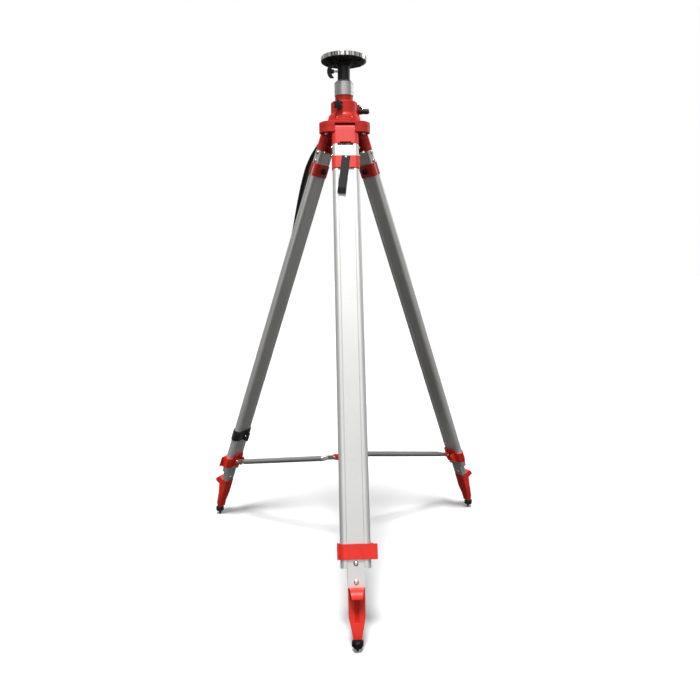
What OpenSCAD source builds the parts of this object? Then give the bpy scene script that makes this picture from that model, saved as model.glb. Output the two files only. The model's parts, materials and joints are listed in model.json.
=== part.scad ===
// Surveyor tripod with a geared elevating column and three telescopic legs.
// Units are millimetres, +Z is up, the origin is the ground point under the column.
// The front leg points along -Y, the other two stand 120 and 240 degrees round from it.

/* [Stance] */
// Angle of each open leg from the vertical
leg_angle = 21; // [20:0.5:22]
// Distance of the leg hinges from the column axis
hinge_r = 52; // [51:0.5:53]
// Height of the leg hinges above the ground
hinge_z = 1378; // [1360:1:1400]

/* [Legs] */
// Outer radius of the two rails of a leg
rail_r = 13; // [12.5:0.1:13.5]
// Distance of each rail axis from the middle of the leg
rail_x = 27.25; // [27:0.05:27.5]
// Wall of the rails
rail_wall = 2; // [1.6:0.1:2.4]
// Length of rail below the hinge
rail_end = 1268; // [1262:1:1274]
// Width of the sliding inner leg
bar_w = 44.7; // [44.4:0.1:44.7]
// Thickness of the sliding inner leg
bar_t = 20; // [18:0.5:21]

/* [Head] */
// Diameter of the instrument plate
plate_d = 140; // [136:1:150]
// Thickness of the instrument plate
plate_t = 13; // [11:0.5:15]
// Radius of the 5/8 inch centre screw
screw_r = 7.94; // [7.94:0.01:7.94]
// Length of the centre screw above the plate
screw_len = 16; // [12:1:20]

/* [Column] */
// Radius of the elevating column
column_r = 21; // [21:0.5:21]
// Height of the lower end of the lowered column
column_end_z = 700; // [680:5:760]
// Module of the rack and pinion
gear_module = 1.5; // [1.5:0.1:1.5]
// Teeth of the pinion
pinion_teeth = 12; // [12:1:12]

/* [Spreader] */
// Radius of the strut tubes
strut_r = 9; // [8:0.5:9]
// Radius of the hub pivots from the column axis
hub_r = 45; // [44:0.5:46]
// Height of the spreader hub
hub_z = 314; // [310:1:318]

/* [Hidden] */
$fn = 64;
paint = "#e0362c";
steel = "#c9c9cc";
silver = "#e3e4e2";
black = "#222222";
gap = 0.3;
run = 0.05;

// heights of the shoulder and the gear housing, measured up from the leg hinges
shoulder_z = hinge_z - 8;
seam_z = hinge_z + 8;
housing_z = hinge_z + 23;
drum_z = hinge_z + 53;
drum_top_z = hinge_z + 88;
collar_top_z = hinge_z + 106;
shaft_z = hinge_z + 74;
knob_z = hinge_z + 72;
sleeve_z = collar_top_z + 0.1;
sleeve_top_z = hinge_z + 153;
tube_top_z = sleeve_top_z - 24;
wing_z = hinge_z + 180;
plate_z = hinge_z + 207;
lobe_r = 35;
lobe_at = 50;
flange_r = 53;
drum_r = 41;
collar_r = 27.5;
bush_r = 23.5;
slot_half = 31;
slot_at = 37;
bolt_at = 66;

// rack and pinion
pressure = 20;
pitch_r = gear_module * pinion_teeth / 2;
base_r = pitch_r * cos(pressure);
addendum = 0.7 * gear_module;
dedendum = 0.9 * gear_module;
pitch = PI * gear_module;
backlash = 0.12;
rack_y = column_r + 3;
shaft_y = rack_y + pitch_r;
rack_w = 10;
rack_floor_y = column_r - 1.6;
rack_top_z = drum_top_z + 12;
rack_teeth = 115;
boss_r = 16;
boss_end_x = 50;

// head
post_r = 12;
neck_r = 19;
sleeve_r = 29;
disc_r = 64;

// crank and lock knob
crank_r = 26;
crank_tilt = 22;
arm_x = 51.2;
arm_t = 6.8;
grip_x = arm_x + arm_t + 0.4;
grip_len = 19.5;
knob_azimuth = -112;
knob_at = 44.6;

// leg, measured down from the hinge
pin_r = 4.5;
knuckle_w = 60;
knuckle_r = 11.5;
casting_end = 56;
bolt_s = [64, 90];
band_s = [96, 135.5];
bumper_s = 116;
strap_s = [98, 218];
clamp_s = [1207, 1246];
pivot_s = 1216;
pivot_n = 27;
foot_s = 1315;
rivet_s = [1256, 1302];
half_x = rail_x + rail_r;
flat_x = bar_w / 2 + gap;
webbing_w = 25;

// struts lie beside the radial plane of their leg, so the three of them pass each other
strut_x = 12.5;
tongue_t = 4;
tongue_h = 7;
tongue_len = 22;
flare_len = 20;
pivot_pin_r = 3;
pivot_y = hinge_r + pivot_s * sin(leg_angle) - pivot_n * cos(leg_angle);
pivot_z = hinge_z - pivot_s * cos(leg_angle) - pivot_n * sin(leg_angle);
strut_run = pivot_y - hub_r;
strut_rise = hub_z - pivot_z;
strut_len = sqrt(strut_run * strut_run + strut_rise * strut_rise);
strut_slope = atan(strut_rise / strut_run);

// foot: its tip stands on the ground
tip_n = -12.6;
tip_s = (hinge_z + tip_n * sin(leg_angle)) / cos(leg_angle);
tip_y = hinge_r + tip_s * sin(leg_angle) + tip_n * cos(leg_angle);
foot_top_y = hinge_r + foot_s * sin(leg_angle);
foot_top_z = hinge_z - foot_s * cos(leg_angle);

// ---------- frames and shared outlines ----------

module leg_frame(i)
  rotate([0, 0, 120 * i]) translate([0, -hinge_r, hinge_z]) rotate([-leg_angle, 0, 0]) children();

module along_leg(from, to) translate([0, 0, -to]) linear_extrude(to - from) children();

module foot_frame(i) rotate([0, 0, 120 * i]) children();

module side_extrude(half) rotate([90, 0, 90]) linear_extrude(2 * half, center = true) children();

module ring(h, outer, inner) difference() {
  cylinder(h = h, r = outer);
  translate([0, 0, -1]) cylinder(h = h + 2, r = inner);
}

// outline of a whole leg, grown outwards by d
module leg_wrap(d) {
  for (side = [-1, 1]) translate([side * rail_x, 0]) circle(r = rail_r + d);
  square([2 * rail_x, 2 * (rail_r + d)], center = true);
}

module wrap_shell(outer, inner) difference() {
  leg_wrap(outer);
  leg_wrap(inner);
}

module rail_outline() {
  difference() {
    translate([rail_x, 0]) circle(r = rail_r);
    translate([0, -20]) square([flat_x, 40]);
    intersection() {
      translate([rail_x, 0]) circle(r = rail_r - rail_wall);
      translate([flat_x + rail_wall, -20]) square([40, 40]);
    }
  }
  translate([flat_x - 3, -1.5]) square([3.2, 3]);
}

// space taken by the rack along the column
module rack_slot(z0, z1, clear)
  translate([-rack_w / 2 - clear, 0, z0])
    cube([rack_w + 2 * clear, rack_y + addendum + clear, z1 - z0]);

// ---------- shoulder ----------

module shoulder_plan() {
  for (i = [0:2]) rotate(120 * i) {
    translate([0, lobe_at]) circle(r = lobe_r);
    translate([-lobe_at * cos(30), -lobe_at / 2 - lobe_r + 0.05])
      square([2 * lobe_at * cos(30), lobe_at / 2 + lobe_r]);
  }
}

module leg_slots(z0, z1)
  for (i = [0:2]) rotate([0, 0, 120 * i])
    translate([-slot_half, -100, z0]) cube([2 * slot_half, 100 - slot_at, z1 - z0]);

module lobe_bolt_holes()
  for (i = [0:2]) rotate([0, 0, 120 * i])
    translate([0, bolt_at, shoulder_z - 1]) cylinder(h = 28, r = 4.1);

module shoulder_lower() color(paint) difference() {
  translate([0, 0, shoulder_z]) linear_extrude(seam_z - shoulder_z) shoulder_plan();
  leg_slots(shoulder_z - 1, seam_z + 1);
  translate([0, 0, shoulder_z - 1]) cylinder(h = 30, r = bush_r);
  rack_slot(shoulder_z - 1, seam_z + 1, 0.8);
  lobe_bolt_holes();
  for (i = [0:2]) rotate([0, 0, 120 * i]) translate([0, -hinge_r, hinge_z])
    rotate([0, 90, 0]) cylinder(h = 108.6, r = pin_r + 0.02, center = true);
}

module shoulder_upper() color(paint) difference() {
  union() {
    translate([0, 0, seam_z + 0.6]) linear_extrude(housing_z - seam_z - 3) shoulder_plan();
    translate([0, 0, housing_z - 3]) linear_extrude(3) intersection() {
      shoulder_plan();
      circle(r = lobe_at + lobe_r - 2.5);
    }
  }
  leg_slots(seam_z - 1, housing_z - 6);
  translate([0, 0, seam_z - 1]) cylinder(h = 30, r = bush_r);
  rack_slot(seam_z - 1, housing_z + 1, 0.8);
  lobe_bolt_holes();
}

module cap_screw(head_r, head_h, shank_r, shank_len) {
  difference() {
    cylinder(h = head_h, r = head_r);
    translate([0, 0, head_h / 2]) cylinder(h = head_h, r = head_r * 0.5, $fn = 6);
  }
  translate([0, 0, -shank_len]) cylinder(h = shank_len, r = shank_r);
}

flange_screw_angles = [0, 60, 120, 180, 240, 300];
flange_screw_r = 45.5;
flange_screw_z = housing_z + 13;

module shoulder_bolts() color(steel) {
  for (i = [0:2]) rotate([0, 0, 120 * i]) translate([0, bolt_at, shoulder_z])
    rotate([180, 0, 0]) cap_screw(6.5, 4.5, 4, 24);
  for (a = flange_screw_angles) rotate([0, 0, a])
    translate([flange_screw_r, 0, flange_screw_z]) cap_screw(3.6, 3.4, 1.9, 9);
}

module hinge_pins() color(steel) for (i = [0:2]) rotate([0, 0, 120 * i])
  translate([0, -hinge_r, hinge_z]) rotate([0, 90, 0]) cylinder(h = 108, r = pin_r, center = true);

// ---------- gear housing ----------

housing_profile = concat(
  [[bush_r, housing_z], [flange_r, housing_z], [flange_r, housing_z + 9]],
  [for (a = [0:15:90]) [drum_r + 0.5 + 9 * cos(a), housing_z + 10 + 19 * sin(a)]],
  [[drum_r, drum_z + 2], [drum_r, drum_top_z - 3], [drum_r - 3, drum_top_z],
   [collar_r, drum_top_z], [collar_r, collar_top_z - 1.5], [collar_r - 1.5, collar_top_z],
   [bush_r, collar_top_z]]);

module gear_housing() color(paint) difference() {
  union() {
    rotate_extrude() polygon(housing_profile);
    for (a = flange_screw_angles) rotate([0, 0, a]) translate([flange_screw_r, 0, housing_z])
      cylinder(h = flange_screw_z - housing_z, r = 6);
    translate([-24, shaft_y, shaft_z]) rotate([0, 90, 0]) cylinder(h = 24 + boss_end_x, r = boss_r);
    translate([0, 0, knob_z]) rotate([0, 90, knob_azimuth]) cylinder(h = knob_at - 1, r = 8.5);
  }
  translate([0, 0, housing_z - 1]) cylinder(h = 120, r = bush_r);
  rack_slot(housing_z - 1, collar_top_z + 1, 0.8);
  translate([-9, shaft_y, shaft_z]) rotate([0, 90, 0]) cylinder(h = 18, r = 11);
  translate([-18, shaft_y, shaft_z]) rotate([0, 90, 0]) cylinder(h = 50, r = 5 + run);
  translate([30, shaft_y, shaft_z]) rotate([0, 90, 0]) cylinder(h = 30, r = 5.4);
  translate([36, shaft_y, shaft_z]) rotate([0, 90, 0]) cylinder(h = 30, r = 8);
  translate([0, 0, knob_z]) rotate([0, 90, knob_azimuth]) cylinder(h = 60, r = 3.5 + run);
  for (a = flange_screw_angles) rotate([0, 0, a])
    translate([flange_screw_r, 0, flange_screw_z - 10]) cylinder(h = 20, r = 1.95);
  for (a = flange_screw_angles) rotate([0, 0, a])
    translate([flange_screw_r, 0, flange_screw_z]) cylinder(h = 17, r = 4.3);
  for (a = flange_screw_angles) rotate([0, 0, a])
    translate([flange_screw_r, -4.1, flange_screw_z]) cube([20, 8.2, 17]);
}

module column_bush(z0, z1) difference() {
  translate([0, 0, z0]) ring(z1 - z0, bush_r - 0.02, column_r + run);
  rack_slot(z0 - 1, z1 + 1, 0.6);
}

module bushes() color("#3a3a3c") {
  column_bush(shoulder_z + 0.5, housing_z - 0.5);
  column_bush(drum_top_z - 2, collar_top_z - 0.5);
  translate([36, shaft_y, shaft_z]) rotate([0, 90, 0]) ring(boss_end_x - 36, 7.98, 5 + run);
}

// ---------- elevating column ----------

module column_tube() color(silver) difference() {
  translate([0, 0, column_end_z]) ring(tube_top_z - column_end_z, column_r, column_r - 3.5);
  translate([-rack_w / 2 - 0.02, rack_floor_y, column_end_z + 60])
    cube([rack_w + 0.04, 10, rack_top_z - column_end_z - 60 + 0.02]);
}

function rack_half(h) = pitch / 4 - backlash - h * tan(pressure);

module gear_rack() color(steel) translate([0, 0, shaft_z]) rotate([90, 0, 90])
  linear_extrude(rack_w, center = true) {
    first = floor((rack_top_z - shaft_z) / pitch) - rack_teeth + 1;
    polygon(concat(
      [[rack_floor_y, column_end_z + 61 - shaft_z]],
      [[rack_y - dedendum, column_end_z + 61 - shaft_z]],
      [for (k = [first:first + rack_teeth - 1]) each [
        [rack_y - dedendum, k * pitch - rack_half(-dedendum)],
        [rack_y + addendum, k * pitch - rack_half(addendum)],
        [rack_y + addendum, k * pitch + rack_half(addendum)],
        [rack_y - dedendum, k * pitch + rack_half(-dedendum)]]],
      [[rack_y - dedendum, rack_top_z - shaft_z], [rack_floor_y, rack_top_z - shaft_z]]));
  }

module column_head() color(silver) {
  difference() {
    rotate_extrude() polygon([
      [0, tube_top_z + 0.2], [column_r + 0.05, tube_top_z + 0.2], [column_r + 0.05, sleeve_z],
      [sleeve_r - 1, sleeve_z], [sleeve_r, sleeve_z + 1], [sleeve_r, sleeve_z + 9],
      [sleeve_r - 0.5, sleeve_z + 9.5], [sleeve_r, sleeve_z + 10], [sleeve_r, sleeve_top_z - 12],
      [sleeve_r - 0.5, sleeve_top_z - 11.5], [sleeve_r, sleeve_top_z - 11],
      [sleeve_r, sleeve_top_z - 7.5], [neck_r + 1.5, sleeve_top_z], [post_r, sleeve_top_z],
      [post_r, wing_z + 12], [post_r - 1.5, wing_z + 13.5], [0, wing_z + 13.5]]);
  }
}

module column_plug() color(black) translate([0, 0, column_end_z]) {
  cylinder(h = 18, r = column_r - 3.55);
  translate([0, 0, -5]) cylinder(h = 4.95, r = column_r - 0.4);
  translate([0, 0, -16]) difference() {
    translate([-2, -7, 0]) cube([4, 14, 11]);
    translate([-5, 0, 4.5]) rotate([0, 90, 0]) cylinder(h = 10, r = 2.8);
  }
}

// ---------- rotating head ----------

module head_neck() color(black) difference() {
  union() {
    rotate_extrude() polygon([
      [post_r + 0.06, sleeve_top_z + 0.2], [neck_r - 1, sleeve_top_z + 0.2],
      [neck_r, sleeve_top_z + 1.2], [neck_r, plate_z - 14], [neck_r + 4, plate_z - 9],
      [neck_r + 6, plate_z - 6], [disc_r - 8, plate_z - 3], [disc_r, plate_z - 1.5],
      [disc_r, plate_z + 2.9], [0, plate_z + 2.9], [0, wing_z + 15], [post_r + 0.06, wing_z + 15]]);
    for (i = [0:5]) rotate([0, 0, 60 * i + 30]) translate([neck_r - 2, -1.6, plate_z - 5])
      cube([disc_r - neck_r - 1, 3.2, 5]);
    translate([0, 0, plate_z - 5]) ring(4, 46, 43);
  }
  for (i = [0:5]) rotate([0, 0, 60 * i]) translate([35.5, 0, plate_z - 12]) cylinder(h = 9.5, r = 5.5);
  translate([-30, 0, wing_z]) rotate([0, 90, 0]) cylinder(h = 30, r = 3 + run);
}

module head_plate() color(steel) difference() {
  rotate_extrude() polygon([
    [0, plate_z + 3], [disc_r + 0.3, plate_z + 3], [disc_r + 0.3, plate_z], [plate_d / 2 - 0.8, plate_z],
    [plate_d / 2, plate_z + 0.8], [plate_d / 2, plate_z + plate_t - 1.2],
    [plate_d / 2 - 1.2, plate_z + plate_t], [disc_r - 2, plate_z + plate_t],
    [disc_r - 2.6, plate_z + plate_t - 0.6], [disc_r - 3.2, plate_z + plate_t], [0, plate_z + plate_t]]);
  translate([0, 0, plate_z]) cylinder(h = 30, r = screw_r + 0.02);
}

module centre_screw() color(steel) translate([0, 0, plate_z + 3.1]) {
  cylinder(h = plate_t - 3.1, r = screw_r - 0.5);
  translate([0, 0, plate_t - 3.1]) cylinder(h = screw_len - 1.5, r = screw_r);
  translate([0, 0, plate_t - 3.1 + screw_len - 1.5]) cylinder(h = 1.5, r1 = screw_r, r2 = screw_r - 1.5);
}

module wing_knob() color(black) translate([0, 0, wing_z]) {
  difference() {
    union() {
      translate([-45, 0, 0]) rotate([0, 90, 0]) cylinder(h = 15, r = 6.2);
      rotate([90, 0, 0]) linear_extrude(9, center = true) intersection() {
        difference() {
          translate([-28, 0]) circle(r = 23.5);
          translate([-10, 0]) circle(r = 28);
        }
        translate([-60, -19]) square([40, 38]);
      }
    }
    translate([-41, 0, 0]) rotate([0, 90, 0]) cylinder(h = 20, r = 3.02);
  }
}

module wing_stud() color(steel) translate([-40.5, 0, wing_z]) rotate([0, 90, 0])
  cylinder(h = 40.5 - post_r - 0.3, r = 3);

// ---------- crank ----------

function inv(a) = tan(a) * 180 / PI - a;
tooth_half = 360 / (4 * pinion_teeth) - backlash / pitch_r * 180 / PI;
function flank(r) = tooth_half + inv(pressure) - inv(acos(base_r / r));
flank_radii = [for (k = [0:4]) base_r + 0.001 + k * (pitch_r + addendum - base_r) / 4];
root_r = pitch_r - addendum - 0.35;

module pinion_tooth() polygon(concat(
  [(root_r - 0.5) * [cos(flank(flank_radii[0])), -sin(flank(flank_radii[0]))]],
  [for (r = flank_radii) r * [cos(flank(r)), -sin(flank(r))]],
  [for (k = [4:-1:0]) flank_radii[k] * [cos(flank(flank_radii[k])), sin(flank(flank_radii[k]))]],
  [(root_r - 0.5) * [cos(flank(flank_radii[0])), sin(flank(flank_radii[0]))]]));

module at_shaft() translate([0, shaft_y, shaft_z]) rotate([90, 0, 90]) children();

module pinion_shaft() color(steel) at_shaft() {
  translate([0, 0, -7]) linear_extrude(14) {
    circle(r = root_r);
    for (k = [0:pinion_teeth - 1]) rotate(180 + (k + 0.5) * 360 / pinion_teeth) pinion_tooth();
  }
  translate([0, 0, -17]) cylinder(h = 17 + arm_x, r = 5);
  translate([0, 0, arm_x]) cylinder(h = arm_t + 7, r = 4);
}

// the crank points forwards and a little down at rest
module at_grip() rotate(180 + crank_tilt) translate([crank_r, 0]) children();

module crank_arm() color(black) at_shaft() difference() {
  union() {
    translate([0, 0, arm_x]) linear_extrude(arm_t) {
      circle(r = 10.5);
      at_grip() circle(r = 9);
      rotate(180 + crank_tilt) translate([0, -7]) square([crank_r, 14]);
    }
    translate([0, 0, arm_x - 3.5]) at_grip() cylinder(h = 4, r = 9);
  }
  translate([0, 0, arm_x - 1]) cylinder(h = 20, r = 4.02);
  translate([0, 0, arm_x - 2.6]) at_grip() cylinder(h = 30, r = 2.52);
}

module crank_hardware() color(steel) at_shaft() {
  translate([0, 0, arm_x + arm_t]) difference() {
    union() {
      cylinder(h = 6.5, r = 8, $fn = 6);
      translate([0, 0, 6]) cylinder(h = 4, r = 6.5);
      translate([0, 0, 10]) cylinder(h = 2, r1 = 6.5, r2 = 4);
    }
    translate([0, 0, -1]) cylinder(h = 9, r = 4.02);
  }
  at_grip() translate([0, 0, arm_x - 2.5]) cylinder(h = grip_x + grip_len - arm_x + 2.5, r = 2.5);
  at_grip() translate([0, 0, grip_x + grip_len + 0.1]) cylinder(h = 1.8, r = 4.5);
}

module crank_grip() color(black) at_shaft() at_grip() translate([0, 0, grip_x]) rotate_extrude()
  polygon([[2.55, 0], [6.5, 0], [7.6, 1.5], [8, 6], [8, 14], [7.4, 18], [6, grip_len], [2.55, grip_len]]);

// ---------- column lock ----------

module lock_knob() color(black) translate([0, 0, knob_z]) rotate([0, 90, knob_azimuth])
  translate([0, 0, knob_at]) difference() {
    union() {
      cylinder(h = 4, r = 7.5);
      translate([0, 0, 2.5]) linear_extrude(9) {
        circle(r = 11);
        for (k = [0:5]) rotate(60 * k) translate([10.8, 0]) circle(r = 4.1);
      }
      translate([0, 0, 11]) cylinder(h = 1.6, r = 8);
    }
    translate([0, 0, -1]) cylinder(h = 9, r = 3.52);
  }

module lock_stud() color(steel) translate([0, 0, knob_z]) rotate([0, 90, knob_azimuth])
  translate([0, 0, column_r + 0.3]) cylinder(h = knob_at + 6.5 - column_r, r = 3.5);

// ---------- spreader ----------

module spreader_hub() color(paint) translate([0, 0, hub_z]) difference() {
  union() {
    translate([0, 0, -9]) cylinder(h = 18, r = 14);
    translate([0, 0, 8]) cylinder(h = 5, r = 9);
    for (i = [0:2]) rotate([0, 0, 120 * i]) {
      translate([2, -hub_r, -9]) cube([strut_x - gap - 2, hub_r, 18]);
      translate([2, -hub_r, 0]) rotate([0, 90, 0]) cylinder(h = strut_x - gap - 2, r = 9);
    }
  }
  for (i = [0:2]) rotate([0, 0, 120 * i])
    translate([-10, -hub_r, 0]) rotate([0, 90, 0]) cylinder(h = 40, r = pivot_pin_r + 0.02);
  translate([0, 0, -20]) cylinder(h = 40, r = 4);
}

module hub_rivets() color(steel) for (i = [0:2]) rotate([0, 0, 120 * i])
  translate([0, -hub_r, hub_z]) rotate([0, 90, 0]) {
    translate([0, 0, 1.9]) cylinder(h = strut_x - gap - 1.9, r = pivot_pin_r);
    translate([0, 0, 0]) cylinder(h = 1.95, r1 = 3.5, r2 = 5.5);
  }

module strut_end(pin_bore) difference() {
  union() {
    translate([strut_x, 0, 0]) rotate([0, 90, 0]) cylinder(h = tongue_t, r = tongue_h);
    translate([strut_x, 0, -tongue_h]) cube([tongue_t, tongue_len, 2 * tongue_h]);
    hull() {
      translate([strut_x, tongue_len - 0.1, -tongue_h]) cube([tongue_t, 0.1, 2 * tongue_h]);
      translate([strut_x + strut_r, tongue_len + flare_len, 0]) rotate([-90, 0, 0])
        cylinder(h = 0.5, r = strut_r, $fn = 32);
    }
  }
  translate([strut_x - 1, 0, 0]) rotate([0, 90, 0]) cylinder(h = 20, r = pin_bore);
}

module strut(i) color(steel) rotate([0, 0, 120 * i]) translate([0, -pivot_y, pivot_z])
  rotate([strut_slope, 0, 0]) {
    strut_end(pivot_pin_r + run);
    translate([0, strut_len, 0]) mirror([0, 1, 0]) strut_end(pivot_pin_r + 0.02);
    translate([strut_x + strut_r, tongue_len + flare_len, 0]) rotate([-90, 0, 0])
      cylinder(h = strut_len - 2 * (tongue_len + flare_len), r = strut_r);
    translate([strut_x + 0.1, strut_len, 0]) rotate([0, 90, 0]) cylinder(h = tongue_t, r = pivot_pin_r);
    translate([strut_x + tongue_t + 0.05, strut_len, 0]) rotate([0, 90, 0])
      cylinder(h = 1.9, r1 = 5.5, r2 = 3.5);
  }

// ---------- legs ----------

module prong_outline() intersection() {
  translate([rail_x, 0]) circle(r = rail_r - rail_wall - 0.1);
  translate([flat_x + rail_wall + 0.1, -20]) square([40, 40]);
}

module casting(i) color(paint) leg_frame(i) difference() {
  union() {
    rotate([0, 90, 0]) cylinder(h = knuckle_w, r = knuckle_r, center = true);
    translate([-knuckle_w / 2, -rail_r, -casting_end]) cube([knuckle_w, 2 * rail_r, casting_end - 6]);
    translate([-knuckle_w / 2, -knuckle_r, -10]) cube([knuckle_w, 2 * knuckle_r, 10]);
    along_leg(19, casting_end) leg_wrap(0);
    translate([-28, -rail_r - 1.6, -casting_end + 1]) cube([56, 3, casting_end - 9]);
    for (side = [0, 1]) mirror([side, 0, 0]) along_leg(casting_end - 1, 101) prong_outline();
  }
  rotate([0, 90, 0]) cylinder(h = 100, r = pin_r + run, center = true);
  translate([-17, -30, -casting_end - 1]) cube([34, 60, 6.5]);
  translate([-22, -4, -casting_end - 1]) cube([44, 40, casting_end - 14]);
  for (s = bolt_s) translate([0, 0, -s]) rotate([0, 90, 0]) cylinder(h = 100, r = 2.55, center = true);
}

module rails(i) color(silver) leg_frame(i) difference() {
  for (side = [0, 1]) mirror([side, 0, 0]) along_leg(casting_end + 0.2, rail_end) rail_outline();
  for (s = bolt_s, side = [-1, 1]) translate([side * (half_x - 5), 0, -s]) rotate([0, 90, 0])
    cylinder(h = 20, r = 2.55, center = true);
}

module fixings(i) color(steel) leg_frame(i) {
  for (s = bolt_s, side = [-1, 1]) translate([side * (half_x + 0.1), 0, -s]) rotate([0, side * 90, 0]) {
    cylinder(h = 3, r1 = 5, r2 = 3.4);
    translate([0, 0, -9]) cylinder(h = 9.1, r = 2.5);
  }
  translate([0, -rail_r - 2.7 - strap_thick[i], -103]) rotate([90, 0, 0])
    cylinder(h = 1.5, r1 = 3.6, r2 = 2.6);
  translate([strut_x - gap - 8, pivot_n, -pivot_s]) rotate([0, 90, 0]) {
    cylinder(h = 8 + gap + tongue_t + 0.4, r = pivot_pin_r);
    translate([0, 0, -1.9]) cylinder(h = 1.95, r1 = 3.5, r2 = 5.5);
    translate([0, 0, 8 + gap + tongue_t + 0.35]) cylinder(h = 1.9, r1 = 5.5, r2 = 3.5);
  }
  translate([hinge_pin_x, 0, -clamp_s[1] - 0.2]) cylinder(h = clamp_s[1] - clamp_s[0] + 0.4, r = 1.5);
  for (s = [clamp_s[0] - 0.1, clamp_s[1] + 1.6]) translate([hinge_pin_x, 0, -s]) cylinder(h = 1.5, r = 2.8);
}

module band(i) color(paint) leg_frame(i) along_leg(band_s[0], band_s[1]) difference() {
  wrap_shell(2.2, 0.1);
  square([200, 7], center = true);
}

module bumper(i) color(black) leg_frame(i) translate([0, rail_r + 2.25, -bumper_s]) rotate([-90, 0, 0]) {
  cylinder(h = 7, r = 9);
  translate([0, 0, 7]) cylinder(h = 2.5, r1 = 9, r2 = 6.5);
}

strap_slant = [7.8, 0, 0];
strap_thick = [2.8, 9, 2.8];

module strap(i) color("#3b3b3d") leg_frame(i) translate([0.8, 0, -strap_s[0]])
  rotate([0, strap_slant[i], 0])
    translate([-webbing_w / 2, -rail_r - 2.6 - strap_thick[i], -(strap_s[1] - strap_s[0])])
      cube([webbing_w, strap_thick[i], strap_s[1] - strap_s[0]]);

// lower clamp: a fixed back half and a lever that closes across the outer face
hinge_pin_x = -half_x - 4.6;
knuckle_gap = 13;
lever_end_x = half_x + 17;

module clamp(i) color(paint) leg_frame(i) difference() {
  union() {
    along_leg(clamp_s[0], clamp_s[1]) difference() {
      wrap_shell(3, 0.1);
      translate([-100, -104]) square([200, 100]);
    }
    translate([-22, rail_r + 0.3, -clamp_s[0] - 3]) cube([44, 2.5, 12]);
    translate([-21.9, rail_r + 0.4, -clamp_s[0] + 8]) rotate([-26, 0, 0]) cube([43.8, 2.8, 9]);
    for (x = [-20, strut_x - gap - 6]) translate([x, 0, 0]) rotate([90, 0, 90]) linear_extrude(6) {
      polygon([[rail_r + 0.5, 7.5 - pivot_s], [pivot_n, 8 - pivot_s], [pivot_n + 8, -pivot_s - 1],
        [pivot_n + 3, -clamp_s[1] + 6], [rail_r + 0.5, -clamp_s[1] + 1.5]]);
      translate([pivot_n, -pivot_s]) circle(r = 9);
    }
    for (s = [clamp_s[0], clamp_s[1] - knuckle_gap]) translate([0, 0, -s - knuckle_gap]) {
      translate([hinge_pin_x, 0, 0]) cylinder(h = knuckle_gap, r = 3.4);
      translate([hinge_pin_x, 0, 0]) cube([4.3, 3, knuckle_gap]);
    }
  }
  translate([hinge_pin_x, 0, -clamp_s[1] - 1]) cylinder(h = 60, r = 1.52);
  translate([hinge_pin_x, 0, -clamp_s[1] + knuckle_gap])
    cylinder(h = clamp_s[1] - clamp_s[0] - 2 * knuckle_gap, r = 5.8);
  translate([strut_x - 20, pivot_n, -pivot_s]) rotate([0, 90, 0]) cylinder(h = 30, r = pivot_pin_r + 0.02);
}

module lever(i) color(paint) leg_frame(i) difference() {
  union() {
    along_leg(clamp_s[0], clamp_s[1]) {
      difference() {
        wrap_shell(3.2, 0.5);
        translate([-100, -4.4]) square([200, 100]);
      }
      translate([rail_x, -rail_r - 3.2]) square([lever_end_x - rail_x, 2.8]);
      translate([half_x + 4, -rail_r - 3.2]) square([2.8, 24.5]);
    }
    along_leg(clamp_s[0] + 1, clamp_s[1] - 1) for (x = [-17.5, 17.5])
      translate([x - 0.8, -rail_r - 3.8]) square([1.6, 1]);
    translate([0, 0, -clamp_s[1] + knuckle_gap + gap]) {
      cylinder_h = clamp_s[1] - clamp_s[0] - 2 * (knuckle_gap + gap);
      translate([hinge_pin_x, 0, 0]) cylinder(h = cylinder_h, r = 3.4);
      translate([hinge_pin_x, -6.5, 0]) cube([3.4, 6.5, cylinder_h]);
      translate([hinge_pin_x, -7.2, 0]) cube([4.5, 2.6, cylinder_h]);
    }
  }
  for (s = [clamp_s[0] - 1, clamp_s[1] - knuckle_gap - gap]) translate([hinge_pin_x, 0, -s - knuckle_gap - 1 - gap])
    cylinder(h = knuckle_gap + 1 + gap + 0.3, r = 3.8);
  translate([hinge_pin_x, 0, -clamp_s[1] - 1]) cylinder(h = 60, r = 1.5 + run);
}

module bar_outline() difference() {
  square([bar_w, bar_t], center = true);
  square([bar_w - 10, bar_t - 4], center = true);
  for (side = [-1, 1]) translate([side * bar_w / 2, 0]) square([6.2, 3.7], center = true);
}

module inner_leg(i) color(silver) leg_frame(i) difference() {
  along_leg(casting_end + 4, foot_s) bar_outline();
  for (s = rivet_s) translate([0, 0, -s]) rotate([90, 0, 0]) cylinder(h = 60, r = 2.55, center = true);
}

foot_sides = [
  [foot_top_y - 10.5, foot_top_z - 3.9], [foot_top_y + 10.5, foot_top_z + 3.9],
  [foot_top_y + 19, foot_top_z - 10], [foot_top_y + 25.5, foot_top_z - 22],
  [tip_y - 14, 95], [tip_y - 6, 70], [tip_y + 2.5, 50], [tip_y + 3, 33],
  [tip_y - 16, 33], [tip_y - 20, 55], [tip_y - 34, 90]];
pedal_sides = [
  [foot_top_y + 6, foot_top_z - 1], [foot_top_y + 10.5, foot_top_z + 3.9],
  [foot_top_y + 20, foot_top_z + 9.5], [foot_top_y + 31, foot_top_z + 9],
  [foot_top_y + 41, foot_top_z + 3], [foot_top_y + 47, foot_top_z - 7],
  [foot_top_y + 45.5, foot_top_z - 9.5], [foot_top_y + 38, foot_top_z - 13],
  [foot_top_y + 28, foot_top_z - 17], [foot_top_y + 22, foot_top_z - 26],
  [foot_top_y + 12, foot_top_z - 26]];
foot_half = 21.5;

module foot_side(points) side_extrude(foot_half) polygon([for (p = points) [-p[0], p[1]]]);

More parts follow.
